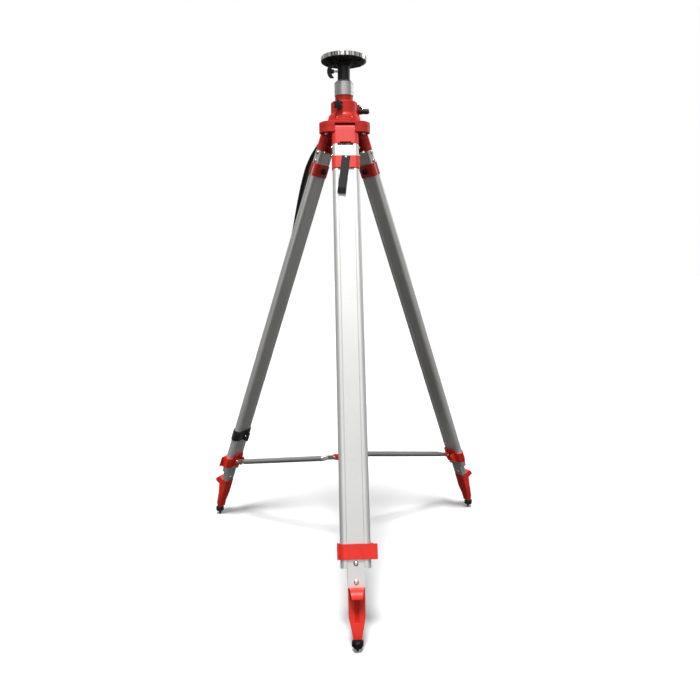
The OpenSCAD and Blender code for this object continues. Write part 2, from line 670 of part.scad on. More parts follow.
module foot(i) color(paint) {
  difference() {
    foot_frame(i) union() {
      intersection() {
        foot_side(foot_sides);
        translate([0, 0, 0]) rotate([90, 0, 0]) linear_extrude(700) polygon([
          [-foot_half, 200], [-foot_half, 86], [-10.5, 33], [10.5, 33], [foot_half, 86], [foot_half, 200]]);
      }
      intersection() {
        foot_side(pedal_sides);
        translate([0, 0, 100]) linear_extrude(100) polygon([
          [-foot_half, -500], [-foot_half, -foot_top_y - 12], [-14.5, -foot_top_y - 46],
          [14.5, -foot_top_y - 46], [foot_half, -foot_top_y - 12], [foot_half, -500]]);
      }
    }
    foot_frame(i) translate([0, -foot_top_y - 30, 104]) rotate([-17, 0, 0])
      rotate([0, 0, 45]) cube([12, 12, 66], center = true);
    foot_frame(i) translate([0, -tip_y, 0]) cylinder(h = 46, r = 2.52);
    leg_frame(i) translate([-40, -40, -foot_s + 0.05]) cube([80, 51.2, 30]);
  }
  leg_frame(i) difference() {
    along_leg(rivet_s[0] - 12, foot_s + 1) square([bar_w - 10.2, bar_t - 4.2], center = true);
    for (s = rivet_s) translate([0, 0, -s]) rotate([90, 0, 0]) cylinder(h = 60, r = 2.55, center = true);
  }
}

module spike(i) color("#47474b") {
  foot_frame(i) translate([0, -tip_y, 0]) {
    translate([0, 0, 3.2]) sphere(r = 3.2);
    translate([0, 0, 2.6]) cylinder(h = 6.5, r1 = 3.3, r2 = 4.6);
    translate([0, 0, 9]) cylinder(h = 5.1, r1 = 4.5, r2 = 12.8);
    translate([0, 0, 14]) cylinder(h = 14, r = 15, $fn = 6);
    translate([0, 0, 27.9]) cylinder(h = 5, r1 = 12.8, r2 = 10);
    translate([0, 0, 32]) cylinder(h = 12, r = 2.5);
  }
  leg_frame(i) for (s = rivet_s) translate([0, 0, -s]) rotate([90, 0, 0]) {
    cylinder(h = bar_t + 0.4, r = 2.5, center = true);
    for (side = [0, 1]) mirror([0, 0, side]) translate([0, 0, bar_t / 2 + 0.1])
      cylinder(h = 2.4, r1 = 6.5, r2 = 4);
  }
}

// ---------- carrying strap on the left leg ----------

strap_path = [
  [26, 14.9], [40, 19], [60, 26], [85, 33.5], [118, 38.5], [150, 38.8], [190, 36.5], [230, 32.5],
  [270, 27.5], [310, 22], [350, 17.4], [390, 14.6], [430, 14.2], [1092, 14.2]];
carry_t = 2.6;
loop_s = [1088, 1128];

module carry_strap() color(black) leg_frame(2) {
  rotate([90, 0, 90]) linear_extrude(38, center = true) polygon(concat(
    [for (p = strap_path) [-p[1], -p[0]]],
    [for (k = [len(strap_path) - 1:-1:0]) [-strap_path[k][1] - carry_t, -strap_path[k][0]]]));
  along_leg(loop_s[0], loop_s[1]) wrap_shell(3.2, 0.3);
  translate([-3, rail_r + 3.1, -loop_s[1] + 2]) cube([6, 20, 36]);
}

shoulder_upper();
shoulder_lower();
shoulder_bolts();
hinge_pins();
gear_housing();
bushes();
column_tube();
gear_rack();
column_head();
column_plug();
head_neck();
head_plate();
centre_screw();
wing_knob();
wing_stud();
pinion_shaft();
crank_arm();
crank_hardware();
crank_grip();
lock_knob();
lock_stud();
spreader_hub();
hub_rivets();
carry_strap();
casting(0);  // casting_front
casting(1);  // casting_right
casting(2);  // casting_left
rails(0);  // rails_front
rails(1);  // rails_right
rails(2);  // rails_left
fixings(0);  // fixings_front
fixings(1);  // fixings_right
fixings(2);  // fixings_left
band(0);  // band_front
band(1);  // band_right
band(2);  // band_left
bumper(0);  // bumper_front
bumper(1);  // bumper_right
bumper(2);  // bumper_left
strap(0);  // strap_front
strap(1);  // strap_right
strap(2);  // strap_left
clamp(0);  // clamp_front
clamp(1);  // clamp_right
clamp(2);  // clamp_left
lever(0);  // lever_front
lever(1);  // lever_right
lever(2);  // lever_left
inner_leg(0);  // inner_leg_front
inner_leg(1);  // inner_leg_right
inner_leg(2);  // inner_leg_left
foot(0);  // foot_front
foot(1);  // foot_right
foot(2);  // foot_left
spike(0);  // spike_front
spike(1);  // spike_right
spike(2);  // spike_left
strut(0);  // strut_front
strut(1);  // strut_right
strut(2);  // strut_left
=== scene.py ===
"""The surveyor tripod's looks: materials, softened castings, webbing, light and camera."""

import json
import math

import bmesh
import bpy
from mathutils import Matrix, Vector


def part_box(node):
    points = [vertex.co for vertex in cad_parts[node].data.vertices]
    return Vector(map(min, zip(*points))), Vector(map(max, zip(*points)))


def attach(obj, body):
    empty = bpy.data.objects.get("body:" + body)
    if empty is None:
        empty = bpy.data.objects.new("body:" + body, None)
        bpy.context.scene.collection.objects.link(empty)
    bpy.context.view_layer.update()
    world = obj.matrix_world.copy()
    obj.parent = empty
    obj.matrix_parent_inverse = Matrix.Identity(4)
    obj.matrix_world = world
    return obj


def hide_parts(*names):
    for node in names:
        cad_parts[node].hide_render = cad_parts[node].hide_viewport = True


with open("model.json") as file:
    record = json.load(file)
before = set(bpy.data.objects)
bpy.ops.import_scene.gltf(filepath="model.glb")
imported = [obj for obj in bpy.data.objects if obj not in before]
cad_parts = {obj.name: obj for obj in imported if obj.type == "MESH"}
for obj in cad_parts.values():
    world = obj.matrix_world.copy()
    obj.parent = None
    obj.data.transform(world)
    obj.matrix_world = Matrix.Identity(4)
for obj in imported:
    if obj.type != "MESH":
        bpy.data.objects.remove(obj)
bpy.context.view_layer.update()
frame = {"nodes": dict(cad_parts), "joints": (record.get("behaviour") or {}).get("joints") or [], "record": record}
nodes = frame["nodes"]
LEGS = ("front", "right", "left")
MM = 0.001

# ---------- colours, linear ----------

RED = (0.80, 0.030, 0.018)
WHITE_ALU = (0.80, 0.80, 0.78)
STRUT_ALU = (0.60, 0.59, 0.56)
TURNED_ALU = (0.82, 0.82, 0.81)
CHROME = (0.86, 0.85, 0.82)
ZINC = (0.78, 0.78, 0.76)
DARK_STEEL = (0.055, 0.058, 0.058)
BLACK = (0.010, 0.010, 0.011)
RUBBER = (0.008, 0.008, 0.008)
BLACK_WEB = (0.006, 0.006, 0.007)
GREY_WEB = (0.050, 0.050, 0.052)
FLOOR = (0.86, 0.86, 0.86)


# ---------- materials ----------


class Shader:
    """A small helper that builds one node material."""

    def __init__(self, name):
        self.material = bpy.data.materials.new(name)
        self.material.use_nodes = True
        self.tree = self.material.node_tree
        self.bsdf = self.tree.nodes["Principled BSDF"]

    def node(self, kind, **values):
        made = self.tree.nodes.new(kind)
        for key, value in values.items():
            if key in made.inputs:
                made.inputs[key].default_value = value
            else:
                setattr(made, key, value)
        return made

    def link(self, a, b):
        self.tree.links.new(a, b)

    def set(self, **values):
        for key, value in values.items():
            socket = self.bsdf.inputs[key.replace("_", " ")]
            if isinstance(value, tuple):
                value = (*value, 1.0)
            socket.default_value = value

    def coords(self, scale=(1, 1, 1), rotation=(0, 0, 0)):
        where = self.node("ShaderNodeTexCoord")
        mapping = self.node("ShaderNodeMapping")
        mapping.inputs["Scale"].default_value = scale
        mapping.inputs["Rotation"].default_value = rotation
        self.link(where.outputs["Object"], mapping.inputs["Vector"])
        return mapping.outputs["Vector"]

    def noise(self, vector, scale, detail=3.0, roughness=0.55):
        made = self.node("ShaderNodeTexNoise")
        made.inputs["Scale"].default_value = scale
        made.inputs["Detail"].default_value = detail
        made.inputs["Roughness"].default_value = roughness
        self.link(vector, made.inputs["Vector"])
        return made.outputs["Fac"]

    def ramp(self, value, low, high, a, b):
        made = self.node("ShaderNodeMapRange")
        made.inputs["From Min"].default_value = low
        made.inputs["From Max"].default_value = high
        made.inputs["To Min"].default_value = a
        made.inputs["To Max"].default_value = b
        self.link(value, made.inputs["Value"])
        return made.outputs["Result"]

    def tint(self, value, a, b):
        made = self.node("ShaderNodeMix", data_type="RGBA")
        made.inputs[6].default_value = (*a, 1)
        made.inputs[7].default_value = (*b, 1)
        self.link(value, made.inputs[0])
        self.link(made.outputs[2], self.bsdf.inputs["Base Color"])

    def surface(self, height, strength, distance, edge=None):
        """Bump from height, over a rounded shading of the sharp edges."""
        bump = self.node("ShaderNodeBump")
        bump.inputs["Strength"].default_value = strength
        bump.inputs["Distance"].default_value = distance
        self.link(height, bump.inputs["Height"])
        if edge:
            bevel = self.node("ShaderNodeBevel", samples=6)
            bevel.inputs["Radius"].default_value = edge
            self.link(bevel.outputs["Normal"], bump.inputs["Normal"])
        self.link(bump.outputs["Normal"], self.bsdf.inputs["Normal"])


def painted(name, colour, grain=420.0):
    s = Shader(name)
    s.set(Coat_Weight=0.12, Coat_Roughness=0.25, Specular_IOR_Level=0.35)
    spots = s.noise(s.coords(), grain, 2.0)
    cloud = s.noise(s.coords(), 14.0, 3.0)
    darker = tuple(c * 0.86 for c in colour)
    s.tint(s.ramp(cloud, 0.35, 0.65, 0, 1), darker, colour)
    s.link(s.ramp(spots, 0.3, 0.7, 0.40, 0.52), s.bsdf.inputs["Roughness"])
    s.surface(spots, 0.12, 0.25 * MM, edge=0.9 * MM)
    return s.material


def drawn_metal(name, colour, axis, roughness=0.34, contrast=0.08, metallic=0.85):
    """Extruded metal: fine streaks along one direction."""
    s = Shader(name)
    s.set(Metallic=metallic)
    stretch = tuple(14.0 if abs(a) > 0.5 else 900.0 for a in axis)
    tilt = s.coords(scale=stretch)
    streak = s.noise(tilt, 1.0, 2.0)
    broad = s.noise(s.coords(), 9.0, 2.0)
    s.tint(s.ramp(streak, 0.3, 0.7, 0, 1), tuple(c * (1 - contrast) for c in colour), colour)
    rough = s.ramp(broad, 0.3, 0.7, roughness - 0.04, roughness + 0.05)
    s.link(rough, s.bsdf.inputs["Roughness"])
    s.surface(streak, 0.08, 0.05 * MM, edge=0.3 * MM)
    return s.material


def turned_metal(name, colour, roughness=0.25, metallic=1.0, rings=2600.0):
    """Lathe-turned metal: fine rings round the column axis and along it."""
    s = Shader(name)
    s.set(Metallic=metallic)
    ring = s.noise(s.coords(scale=(4.0, 4.0, rings)), 1.0, 1.0)
    cloud = s.noise(s.coords(), 30.0, 3.0)
    s.tint(s.ramp(ring, 0.35, 0.65, 0, 1), tuple(c * 0.90 for c in colour), colour)
    s.link(s.ramp(cloud, 0.3, 0.7, roughness - 0.03, roughness + 0.06), s.bsdf.inputs["Roughness"])
    s.surface(ring, 0.10, 0.05 * MM, edge=0.35 * MM)
    return s.material


def plain_metal(name, colour, roughness, metallic=1.0):
    s = Shader(name)
    s.set(Metallic=metallic)
    cloud = s.noise(s.coords(), 160.0, 3.0)
    s.tint(s.ramp(cloud, 0.3, 0.7, 0, 1), tuple(c * 0.85 for c in colour), colour)
    s.link(s.ramp(cloud, 0.3, 0.7, roughness - 0.04, roughness + 0.06), s.bsdf.inputs["Roughness"])
    s.surface(cloud, 0.06, 0.1 * MM, edge=0.3 * MM)
    return s.material


def moulded(name, colour, roughness=0.42, grain=900.0):
    s = Shader(name)
    s.set(Specular_IOR_Level=0.5)
    fine = s.noise(s.coords(), grain, 2.0)
    s.tint(s.ramp(fine, 0.3, 0.7, 0, 1), tuple(c * 0.75 for c in colour), colour)
    s.link(s.ramp(fine, 0.3, 0.7, roughness - 0.06, roughness + 0.06), s.bsdf.inputs["Roughness"])
    s.surface(fine, 0.18, 0.2 * MM, edge=0.6 * MM)
    return s.material


def webbing(name, colour, thread=1.1 * MM):
    """Plain-woven tape, with painted shade in the weave's valleys and a painted highlight on its crests. UV u runs
    across the tape and v along it, both in metres.
    """
    s = Shader(name)
    s.set(Roughness=0.85, Sheen_Weight=0.25, Sheen_Roughness=0.5, Specular_IOR_Level=0.25)
    where = s.node("ShaderNodeTexCoord")
    waves = []
    for direction, across in (("X", 1.0), ("Y", 0.62)):
        wave = s.node("ShaderNodeTexWave", bands_direction=direction, wave_profile="SIN")
        wave.inputs["Scale"].default_value = across * 0.5 / (math.pi * thread)
        wave.inputs["Distortion"].default_value = 0.0
        s.link(where.outputs["UV"], wave.inputs["Vector"])
        waves.append(wave.outputs["Fac"])
    weave = s.node("ShaderNodeMath", operation="MULTIPLY")
    s.link(waves[0], weave.inputs[0])
    s.link(waves[1], weave.inputs[1])
    # Painted shade and highlight: the base colour darkens in the weave's valleys and brightens on its crests, over
    # the same relief as the bump below.
    valley_painted_shade, crest_painted_highlight = (tuple(c * k for c in colour) for k in (0.45, 1.5))
    s.tint(s.ramp(weave.outputs[0], 0, 1, 0, 1), valley_painted_shade, crest_painted_highlight)
    s.surface(weave.outputs[0], 0.6, 0.35 * MM)
    return s.material


def floor_material():
    s = Shader("floor")
    s.set(Roughness=0.9, Specular_IOR_Level=0.1)
    cloud = s.noise(s.coords(), 2.0, 2.0)
    s.tint(s.ramp(cloud, 0.3, 0.7, 0, 1), tuple(c * 0.985 for c in FLOOR), FLOOR)
    return s.material


red = painted("red_paint", RED)
leg_metal = drawn_metal("leg_aluminium", WHITE_ALU, (0, 0, 1), roughness=0.42, metallic=0.65)
strut_metal = drawn_metal("strut_aluminium", STRUT_ALU, (1, 0, 0), roughness=0.38)
turned = turned_metal("column_aluminium", TURNED_ALU, roughness=0.36, metallic=0.8)
chrome = turned_metal("bright_plate", CHROME, roughness=0.09)
zinc = plain_metal("bright_steel", ZINC, 0.20)
dark_steel = plain_metal("dark_steel", DARK_STEEL, 0.32)
black = moulded("dark_plastic", BLACK)
rubber = moulded("black_rubber", RUBBER, roughness=0.65, grain=600.0)
black_web = webbing("black_webbing", BLACK_WEB)
grey_web = webbing("grey_webbing", GREY_WEB)

SLOT_MATERIALS = {
    "red_paint": red, "leg_aluminium": leg_metal, "column_aluminium": turned,
    "bright_plate": chrome, "bright_steel": zinc, "dark_steel": dark_steel,
    "dark_plastic": black, "black_rubber": rubber,
    "black_webbing": black_web, "grey_webbing": grey_web,
}


def paint(obj, material):
    obj.data.materials.clear()
    obj.data.materials.append(material)


slots = {p["node"]: p["material_slot"] for p in frame["record"]["subparts"]}
for name, obj in nodes.items():
    paint(obj, SLOT_MATERIALS[slots[name]])
for leg in LEGS:
    paint(nodes[f"strut_{leg}"], strut_metal)


# ---------- frames taken from the joints ----------

joints = {j["name"]: j for j in frame["joints"]}


class LegFrame:
    """A leg's own axes: x across the leg, n outwards, s down along it from the hinge."""

    def __init__(self, leg):
        fold, extend = joints[f"leg_fold_{leg}"], joints[f"leg_extend_{leg}"]
        self.origin = Vector(fold["pos_m"])
        self.x = Vector(fold["axis"]).normalized()
        self.s = Vector(extend["axis"]).normalized()
        self.n = self.s.cross(self.x).normalized()

    def point(self, x, n, s):
        return self.origin + self.x * x + self.n * n + self.s * s


frames = {leg: LegFrame(leg) for leg in LEGS}


# ---------- mesh helpers ----------


def mesh_object(name, verts, faces, material, uvs=None, sharp=35):
    data = bpy.data.meshes.new(name)
    data.from_pydata([tuple(v) for v in verts], [], faces)
    data.validate()
    if uvs:
        layer = data.uv_layers.new(name="UVMap")
        for loop in data.loops:
            layer.data[loop.index].uv = uvs[loop.vertex_index]
    data.shade_smooth()
    data.set_sharp_from_angle(angle=math.radians(sharp))
    obj = bpy.data.objects.new(name, data)
    bpy.context.collection.objects.link(obj)
    paint(obj, material)
    return obj


def outward(obj):
    """Turns every face outwards."""
    work = bmesh.new()
    work.from_mesh(obj.data)
    bmesh.ops.recalc_face_normals(work, faces=work.faces)
    work.to_mesh(obj.data)
    work.free()


def soften(node, width, angle=32, segments=2, suffix="soft"):
    """A copy of a CAD node with its edges really rounded, which stands for the node."""
    source = nodes[node]
    data = source.data.copy()
    data.name = f"{node}_{suffix}"
    copy = bpy.data.objects.new(data.name, data)
    bpy.context.collection.objects.link(copy)
    copy.matrix_world = source.matrix_world.copy()
    work = bmesh.new()
    work.from_mesh(data)
    bmesh.ops.remove_doubles(work, verts=work.verts, dist=2e-6)
    flat = math.radians(0.6)
    bmesh.ops.dissolve_limit(work, angle_limit=flat, verts=work.verts, edges=work.edges)
    work.to_mesh(data)
    work.free()
    bevel = copy.modifiers.new("rounded", "BEVEL")
    bevel.width = width
    bevel.segments = segments
    bevel.limit_method = "ANGLE"
    bevel.angle_limit = math.radians(angle)
    bevel.use_clamp_overlap = True
    bevel.miter_outer = "MITER_ARC"
    level = copy.modifiers.new("flat_faces_stay_flat", "WEIGHTED_NORMAL")
    level.mode = "FACE_AREA_WITH_ANGLE"
    level.keep_sharp = True
    data.shade_smooth()
    data.set_sharp_from_angle(angle=math.radians(60))
    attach(copy, body_name(node))
    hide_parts(node)
    return copy


def body_name(node):
    bodies = frame["record"]["behaviour"]["bodies"]
    return next(body for body, held in bodies.items() if node in held)


def revolve(name, at, axis, profile, material, count=32):
    """A turned piece: profile is (radius, height) pairs along axis from at."""
    axis = Vector(axis).normalized()
    side = axis.orthogonal().normalized()
    other = axis.cross(side)
    verts, faces = [], []
    for radius, height in profile:
        for k in range(count):
            a = 2 * math.pi * k / count
            spoke = side * math.cos(a) + other * math.sin(a)
            verts.append(Vector(at) + axis * height + spoke * radius)
    for ring in range(len(profile) - 1):
        for k in range(count):
            a, b = ring * count + k, ring * count + (k + 1) % count
            faces.append((a, b, b + count, a + count))
    faces.append(tuple(range(count - 1, -1, -1)))
    last = (len(profile) - 1) * count
    faces.append(tuple(range(last, last + count)))
    obj = mesh_object(name, verts, faces, material)
    outward(obj)
    return obj


def dome_profile(radius, height, skirt=0.0, steps=7):
    """A low dome: a short straight skirt, then a quarter ellipse."""
    profile = [(radius, 0.0)]
    for k in range(steps + 1):
        a = math.pi / 2 * k / steps
        profile.append((max(radius * math.cos(a), 0.02 * MM), skirt + (height - skirt) * math.sin(a)))
    return profile


def join(name, objects):
    for obj in bpy.context.selected_objects:
        obj.select_set(False)
    for obj in objects:
        obj.select_set(True)
    bpy.context.view_layer.objects.active = objects[0]
    bpy.ops.object.join()
    objects[0].name = name
    return objects[0]


def smooth_path(points, steps=6):
    """Catmull-Rom curve through 2-D points."""
    out = []
    for k in range(len(points) - 1):
        p0, p1 = points[max(k - 1, 0)], points[k]
        p2, p3 = points[k + 1], points[min(k + 2, len(points) - 1)]
        for step in range(steps):
            t = step / steps
            out.append(tuple(
                0.5 * (2 * b + (c - a) * t + (2 * a - 5 * b + 4 * c - d) * t * t
                       + (3 * b - a - 3 * c + d) * t ** 3)
                for a, b, c, d in zip(p0, p1, p2, p3)))
    out.append(tuple(points[-1]))
    return out


def tape(name, centre, across, face, width, thickness, material):
    """A woven tape. centre, across and face list its points, width directions and outward normals."""
    half, lip = width / 2, min(0.35 * thickness, 0.6 * MM)
    section = [
        (-half + lip, 0), (half - lip, 0), (half, lip), (half, thickness - lip),
        (half - lip, thickness), (-half + lip, thickness), (-half, thickness - lip), (-half, lip),
    ]
    verts, uvs, faces, run = [], [], [], 0.0
    for k, point in enumerate(centre):
        if k:
            run += (point - centre[k - 1]).length
        for u, h in section:
            verts.append(point + across[k] * u + face[k] * h)
            uvs.append((u + h, run))
    count = len(section)
    for k in range(len(centre) - 1):
        for j in range(count):
            a, b = k * count + j, k * count + (j + 1) % count
            faces.append((a, b, b + count, a + count))
    faces.append(tuple(range(count)))
    faces.append(tuple(range(len(verts) - 1, len(verts) - 1 - count, -1)))
    obj = mesh_object(name, verts, faces, material, uvs=uvs, sharp=50)
    outward(obj)
    return obj, run


def leg_tape(name, leg, path, width, thickness, material, slant=0.0, shift=0.0):
    """A tape along a leg: path is (s, n) pairs of its inner face; slant turns it sideways."""
    lf = frames[leg]
    curve = smooth_path(path)
    start = curve[0][0]
    centre, across, face = [], [], []
    for k, (s, n) in enumerate(curve):
        ahead = curve[min(k + 1, len(curve) - 1)]
        behind = curve[max(k - 1, 0)]
        tangent = Vector((ahead[0] - behind[0], ahead[1] - behind[1])).normalized()
        x = shift - math.tan(slant) * (s - start)
        centre.append(lf.point(x, n, s))
        across.append((lf.x * math.cos(slant) + lf.s * math.sin(slant)).normalized())
        face.append((lf.n * tangent.x - lf.s * tangent.y).normalized())
    return tape(name, centre, across, face, width, thickness, material)


# ---------- webbing ----------

STRAP_W = 25 * MM
STRAP_T = 2.2 * MM
STRAP_X = 0.8 * MM  # the short straps hang a little off the middle
STRAP_RIVET = dome_profile(3.4 * MM, 1.9 * MM)
STRAP_SLANT = {"front": math.radians(7.8), "left": 0.0}
STRAP_S = (98 * MM, 217 * MM)
RAIL_R = 13 * MM
RAIL_X = 27.25 * MM
BAND_TOP = 15.3 * MM


def add_leg_strap(leg):
    """The short strap hangs from a rivet over the band and ends in a stitched black hem."""
    top, end = STRAP_S
    path = [(top, BAND_TOP), (top + 12 * MM, BAND_TOP + 0.1 * MM), (top + 36 * MM, BAND_TOP + 0.3 * MM),
            (top + 60 * MM, BAND_TOP + 0.1 * MM), (end - 20 * MM, BAND_TOP - 0.2 * MM),
            (end, BAND_TOP - 0.2 * MM)]
    slant = STRAP_SLANT[leg]
    strap, length = leg_tape(f"strap_tape_{leg}", leg, path, STRAP_W, STRAP_T, grey_web, slant, STRAP_X)
    hem_path = [(end - 15 * MM, path[-2][1] - 0.15 * MM), (end - 7 * MM, path[-2][1] - 0.1 * MM),
                (end + 0.6 * MM, path[-1][1] - 0.2 * MM)]
    at = STRAP_X - math.tan(slant) * (end - 15 * MM - top)
    hem, _ = leg_tape(f"strap_hem_{leg}", leg, hem_path, STRAP_W + 0.6 * MM, STRAP_T + 0.9 * MM,
                      black_web, slant, at)
    lf = frames[leg]
    seat = lf.point(STRAP_X, BAND_TOP + STRAP_T - 0.1 * MM, top + 6 * MM)
    rivet = revolve(f"strap_rivet_{leg}", seat, lf.n, STRAP_RIVET, zinc, 24)
    for piece in (strap, hem, rivet):
        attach(piece, f"leg_{leg}")
    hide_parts(f"strap_{leg}")


FOLDED_PATH = [
    (100, 15.6), (130, 15.7), (170, 15.7), (206, 15.7), (213, 16.6), (217, 19.6),
    (214.6, 22.6), (206, 23.8), (170, 23.2), (130, 22.3), (106, 21.2),
]


def add_folded_strap(leg):
    """The right leg's black strap is folded back on itself, so it hangs as a double thickness."""
    lf = frames[leg]
    curve = smooth_path([(s * MM, n * MM) for s, n in FOLDED_PATH])
    centre, across, face = [], [], []
    for k, (s, n) in enumerate(curve):
        ahead, behind = curve[min(k + 1, len(curve) - 1)], curve[max(k - 1, 0)]
        tangent = Vector((ahead[0] - behind[0], ahead[1] - behind[1])).normalized()
        centre.append(lf.point(STRAP_X, n, s))
        across.append(lf.x)
        face.append(lf.n * tangent.x - lf.s * tangent.y)
    strap, length = tape(f"strap_tape_{leg}", centre, across, face, STRAP_W, STRAP_T * 0.9, black_web)
    rivet = revolve(f"strap_rivet_{leg}", lf.point(STRAP_X, 23.2 * MM, 112 * MM), lf.n, STRAP_RIVET, zinc, 24)
    for piece in (strap, rivet):
        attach(piece, f"leg_{leg}")
    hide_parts(f"strap_{leg}")


for leg in ("front", "left"):
    add_leg_strap(leg)
add_folded_strap("right")

CARRY_W = 38 * MM
CARRY_T = 2.4 * MM
CARRY_PATH = [
    (26, 14.9), (40, 19), (60, 26), (85, 33.5), (118, 38.5), (150, 38.8), (190, 36.5), (230, 32.5),
    (270, 27.5), (310, 22), (350, 17.4), (390, 14.6), (430, 14.2), (640, 14.3), (860, 14.2), (1092, 14.2),
]
LOOP_S = (1089 * MM, 1128 * MM)
LOOP_OUT = 3.1 * MM


def around_leg(grow, count=16):
    """Points round a leg at a distance grow from it: (x, n) and the outward direction."""
    out = []
    for side in (1, -1):
        for k in range(count + 1):
            a = math.pi / 2 - math.pi * k / count if side > 0 else -math.pi / 2 - math.pi * k / count
            out.append((side * RAIL_X + (RAIL_R + grow) * math.cos(a), (RAIL_R + grow) * math.sin(a),
                        math.cos(a), math.sin(a)))
    return out


def add_carry_strap():
    """The long carrying strap of the left leg, and the loop that holds its lower end."""
    body, lf = "leg_left", frames["left"]
    path = [(s * MM, n * MM) for s, n in CARRY_PATH]
    strap, length = leg_tape("carry_tape", "left", path, CARRY_W, CARRY_T, black_web)
    ring = around_leg(0.5 * MM)
    ring.append(ring[0])
    middle = (LOOP_S[0] + LOOP_S[1]) / 2
    centre = [lf.point(x, n, middle) for x, n, _, _ in ring]
    face = [lf.x * a + lf.n * b for _, _, a, b in ring]
    width = LOOP_S[1] - LOOP_S[0]
    loop, around = tape("carry_loop", centre, [lf.s] * len(ring), face, width, LOOP_OUT - 0.5 * MM, black_web)
    tab_path = [(RAIL_R + 1.5 * MM, 0.0), (RAIL_R + 11 * MM, 2 * MM), (RAIL_R + 22.5 * MM, 0.5 * MM)]
    tabs = []
    for side in (-1, 1):
        points = [lf.point(side * (3.4 - 1.2 * k) * MM, -n, middle + ds) for k, (n, ds) in enumerate(tab_path)]
        widths = [lf.s] * 3
        tabs.append(tape(f"carry_tab_{'low' if side < 0 else 'high'}", points, widths, [lf.x * side] * 3,
                         LOOP_S[1] - LOOP_S[0] - 4 * MM, 2 * MM, black_web)[0])
    tab = join("carry_tab", tabs)
    rivet = revolve("carry_rivet", lf.point(4.6 * MM, -RAIL_R - 10 * MM, middle), lf.x,
                    dome_profile(4.2 * MM, 1.8 * MM), zinc, 24)
    for piece in (strap, loop, tab, rivet):
        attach(piece, body)
    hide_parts("carry_strap")


add_carry_strap()


# ---------- softened castings and plastics ----------

SOFT_EDGES = {
    "shoulder_upper": 1.4, "shoulder_lower": 1.4, "gear_housing": 1.2, "spreader_hub": 1.0,
    "head_neck": 0.7, "wing_knob": 1.6, "lock_knob": 1.3, "crank_arm": 1.4,
}
LEG_SOFT_EDGES = {"casting": 1.2, "band": 0.5, "clamp": 0.6, "lever": 0.6, "foot": 1.6, "bumper": 0.8}

for name, width in SOFT_EDGES.items():
    soften(name, width * MM)
for leg in LEGS:
    for name, width in LEG_SOFT_EDGES.items():
        soften(f"{name}_{leg}", width * MM)


# ---------- domed heads ----------


SIDE_SCREW_S = (64, 90)
FOOT_RIVET_S = (1256, 1302)
SCREW_AT = RAIL_X + RAIL_R - 0.2 * MM
RIVET_AT = 9.9 * MM


def add_domes(leg):
    """Domed heads over the side screws and the foot rivets."""
    lf = frames[leg]
    side, foot = [], []
    for k, s in enumerate(SIDE_SCREW_S):
        for hand in (-1, 1):
            at = lf.point(hand * SCREW_AT, 0, s * MM)
            dome = dome_profile(5.3 * MM, 3.9 * MM, 0.6 * MM)
            side.append(revolve(f"d{k}{hand}{leg}", at, lf.x * hand, dome, zinc))
    for k, s in enumerate(FOOT_RIVET_S):
        for hand in (-1, 1):
            at = lf.point(0, hand * RIVET_AT, s * MM)
            dome = dome_profile(6.8 * MM, 4.2 * MM, 0.5 * MM)
            foot.append(revolve(f"f{k}{hand}{leg}", at, lf.n * hand, dome, zinc))
    screws = join(f"side_screw_domes_{leg}", side)
    rivets = join(f"foot_rivet_domes_{leg}", foot)
    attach(screws, f"leg_{leg}")
    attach(rivets, f"lower_leg_{leg}")


for leg in LEGS:
    add_domes(leg)


# ---------- thread of the centre screw ----------

THREAD_PITCH = 25.4 / 11 * MM
THREAD_DEPTH = 0.9 * MM
THREAD_SUNK = 1.0 * MM
THREAD_LEAD_IN = 1.5 * MM
THREAD_LEAD_DROP = 1.2 * MM


def add_thread():
    """A 5/8-11 thread cut into the stud: the radius follows a helix."""
    low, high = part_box("centre_screw")
    radius = (high.x - low.x) / 2
    top = high.z
    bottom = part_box("head_plate")[1].z - THREAD_SUNK
    count, rings = 48, 96
    verts, faces = [], []
    for r in range(rings + 1):
        z = bottom + (top - bottom) * r / rings
        for k in range(count):
            turn = k / count
            phase = ((z - bottom) / THREAD_PITCH - turn) % 1.0
            depth = THREAD_DEPTH * abs(2 * phase - 1)
            rim = min(1.0, (top - z) / THREAD_LEAD_IN)
            here = radius - depth - (1 - rim) * THREAD_LEAD_DROP
            a = 2 * math.pi * turn
            verts.append((here * math.cos(a), here * math.sin(a), z))
    for r in range(rings):
        for k in range(count):
            a, b = r * count + k, r * count + (k + 1) % count
            faces.append((a, b, b + count, a + count))
    faces.append(tuple(range(count - 1, -1, -1)))
    faces.append(tuple(range(rings * count, rings * count + count)))
    thread = mesh_object("centre_thread", verts, faces, zinc, sharp=80)
    outward(thread)
    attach(thread, "swivel_head")
    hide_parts("centre_screw")


add_thread()


# ---------- camera ----------

CAMERA_AT = Vector((-0.0733, -1.9475, 1.0028))
CAMERA_HEADING = math.radians(87.496)
CAMERA_PITCH = math.radians(-8.989)
CAMERA_ROLL = math.radians(-0.505)
CAMERA_LENS = 30.63
CAMERA_SHIFT_UP = -0.0031
SENSOR = 36.0


